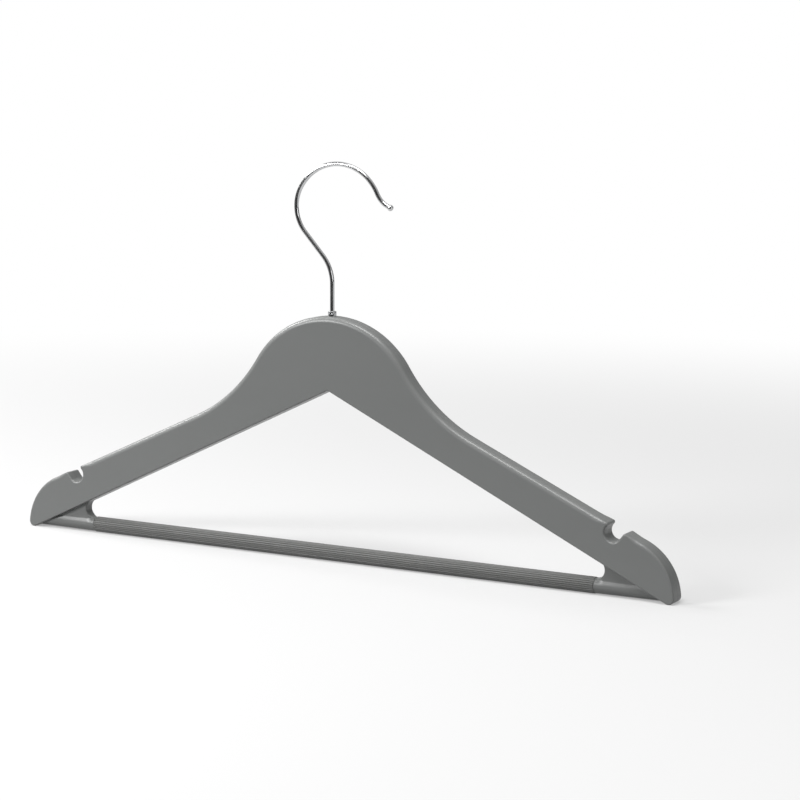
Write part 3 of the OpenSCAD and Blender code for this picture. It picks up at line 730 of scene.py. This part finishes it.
# %% Collar
collar_top, collar_foot, shank_bore, chamfer = bell_top + 2.9, 140.4, 1.4, 0.1
groove_and_rim = [(0.0, 1.35), (0.08, 1.25), (0.08, 1.1), (0.0, 1.0), (0.0, 0.45), (0.05, 0.25),
                  (0.18, 0.1), (0.4, 0.02), (0.6, 0.0), (1.0, 0.0)]
collar_profile = [(shank_bore, collar_foot), (spigot_r, collar_foot), (spigot_r, seat_z),
                  (collar_r - chamfer, seat_z), (collar_r, seat_z + chamfer)]
collar_profile += [(collar_r - inwards, collar_top - down) for inwards, down in groove_and_rim]
collar_profile += [(shank_bore, collar_top - chamfer)]
collar_faces = grid_faces(turned_steps, len(collar_profile), wrap_rows=True, wrap_cols=True)
collar = make_piece("turned_ferrule", lathe_points(collar_profile, turned_steps), collar_faces, collar_steel)
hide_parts("hook_ferrule")
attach(collar, "hanger")

# %% [markdown]
# ## Hidden solids
# The rod in the bar, the nylon bush, the washer and the nut keep their CAD shapes. They
# are only seen when the hanger is taken apart, but each still gets its real finish.

# %% Finishes of the CAD solids
for node, finish in (("bar_core", rod_steel), ("swivel_bush", bush_nylon),
                     ("thrust_washer", washer_zinc), ("shank_nut", nut_zinc)):
    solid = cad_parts[node]
    if solid.data.materials:
        solid.data.materials[0] = finish
    else:
        solid.data.materials.append(finish)
    print(node, "has the finish", finish.name)

# %% [markdown]
# ## Floor, backdrop and light
# Product pictures like this are lit by a few soft lamps in a room that is dark behind the
# camera, on a white sweep. The floor is pale and takes the contact shadow. Towards the
# camera it is blended with plain white light, more so far from the hanger, so that the
# background stays white without brighter lamps on the object. For light that bounces back
# up it is darker, which keeps the undersides dark, and towards the front it falls off to
# the dark room, which gives plated wire its dark middle line.

# %% Floor
# The room's light fades between room_near and room_far metres in front of the hanger, and
# the white share grows between white_near and white_far metres from it.
floor_paint, floor_bounce, floor_rough, floor_gloss, floor_half = 0.74, 0.1, 0.7, 0.2, 6.0
room_near, room_far, room_bright, room_dark = 0.1, 0.6, 0.9, 0.05
white_near, white_far, least_white, most_white = 0.3, 1.2, 0.35, 1.0
corners = [(-floor_half, -floor_half, 0), (floor_half, -floor_half, 0), (floor_half, floor_half, 0),
           (-floor_half, floor_half, 0)]
floor_mesh = bpy.data.meshes.new("floor")
floor_mesh.from_pydata(corners, [], [(0, 1, 2, 3)])
floor = bpy.data.objects.new("floor", floor_mesh)
bpy.context.collection.objects.link(floor)
floor_finish, nodes, floor_shader = start_material("white_sweep", (0.9, 0.9, 0.9))
rays = nodes.add("ShaderNodeLightPath")
spot = nodes.add("ShaderNodeTexCoord").outputs["Object"]
toward_front = nodes.math("MULTIPLY", nodes.add("ShaderNodeSeparateXYZ", Vector=spot).outputs["Y"], -1.0)
room = nodes.ramp(toward_front, room_near, room_far, room_bright, room_dark)
bounce = nodes.mix(rays.outputs["Is Glossy Ray"], floor_bounce, room)
paint = nodes.mix(rays.outputs["Is Camera Ray"], bounce, floor_paint)
nodes.tree.links.new(paint, floor_shader.inputs["Base Color"])
floor_shader.inputs["Roughness"].default_value = floor_rough
floor_shader.inputs["Specular IOR Level"].default_value = floor_gloss
glow = nodes.add("ShaderNodeEmission")
glow.inputs["Color"].default_value = (1.0, 1.0, 1.0, 1.0)
nodes.tree.links.new(nodes.mix(rays.outputs["Is Glossy Ray"], 1.0, room), glow.inputs["Strength"])
seen = nodes.math("MAXIMUM", rays.outputs["Is Camera Ray"],
                  nodes.math("MAXIMUM", rays.outputs["Is Glossy Ray"], rays.outputs["Is Transmission Ray"]))
distance = nodes.add("ShaderNodeVectorMath", {"operation": "LENGTH"}, i0=spot).outputs["Value"]
far_share = nodes.ramp(distance, white_near, white_far, least_white, most_white)
blend_node = nodes.add("ShaderNodeMixShader", i0=nodes.math("MULTIPLY", seen, far_share))
nodes.tree.links.new(floor_shader.outputs[0], blend_node.inputs[1])
nodes.tree.links.new(glow.outputs[0], blend_node.inputs[2])
end = next(n for n in nodes.tree.nodes if n.bl_idname == "ShaderNodeOutputMaterial")
nodes.tree.links.new(blend_node.outputs[0], end.inputs["Surface"])
floor_mesh.materials.append(floor_finish)

# %% World
# White to the camera. For all other light the room is brightest overhead, and what shines in
# the metal is dark in front.
sheen_level, ambient_level, horizon_level, front_level = 0.85, 0.26, 0.3, 0.12
full_height, dark_front, full_back = 0.9, -0.55, 0.25
world = bpy.data.worlds.new("studio")
bpy.context.scene.world = world
world.use_nodes = True
world.node_tree.nodes.clear()
nodes = Nodes(world.node_tree)
rays = nodes.add("ShaderNodeLightPath")
seen = nodes.math("MAXIMUM", rays.outputs["Is Camera Ray"], rays.outputs["Is Transmission Ray"])
way = nodes.add("ShaderNodeSeparateXYZ", Vector=nodes.add("ShaderNodeTexCoord").outputs["Generated"])
overhead = nodes.ramp(way.outputs["Z"], 0.0, full_height, horizon_level, 1.0)
behind = nodes.ramp(way.outputs["Y"], dark_front, full_back, front_level, 1.0)
sheen = nodes.math("MULTIPLY", nodes.math("MULTIPLY", overhead, behind), sheen_level)
ambient = nodes.math("MULTIPLY", overhead, ambient_level)
strength = nodes.mix(seen, nodes.mix(rays.outputs["Is Glossy Ray"], ambient, sheen), 1.0)
sky = nodes.add("ShaderNodeBackground", Color=(1.0, 1.0, 1.0, 1.0), Strength=strength)
world_end = nodes.add("ShaderNodeOutputWorld")
nodes.tree.links.new(sky.outputs[0], world_end.inputs["Surface"])

# %% Lamps


def soft_light(name, spot, aim, width, depth, power):
    """A flat lamp at spot that faces aim, width by depth metres, with its power in watts."""
    data = bpy.data.lights.new(name, "AREA")
    data.shape, data.size, data.size_y, data.energy = "RECTANGLE", width, depth, power
    lamp = bpy.data.objects.new(name, data)
    direction = Vector(aim) - Vector(spot)
    lamp.matrix_world = Matrix.Translation(spot) @ direction.to_track_quat("-Z", "Y").to_matrix().to_4x4()
    bpy.context.collection.objects.link(lamp)


soft_light("overhead", (0.05, -0.42, 1.45), (0.0, 0.0, 0.1), 0.7, 0.5, 12.5)
soft_light("left_high", (-1.3, 0.05, 1.0), (-0.1, 0.0, 0.1), 0.7, 0.5, 12.0)
soft_light("left_front", (-0.85, -1.15, 0.72), (-0.1, 0.0, 0.08), 0.5, 0.5, 16.5)
soft_light("right_fill", (1.5, -0.5, 0.5), (0.1, 0.0, 0.08), 0.6, 0.6, 3.5)
bpy.context.scene.view_settings.view_transform = "Standard"
print("lamps:", [lamp.name for lamp in bpy.data.lights])
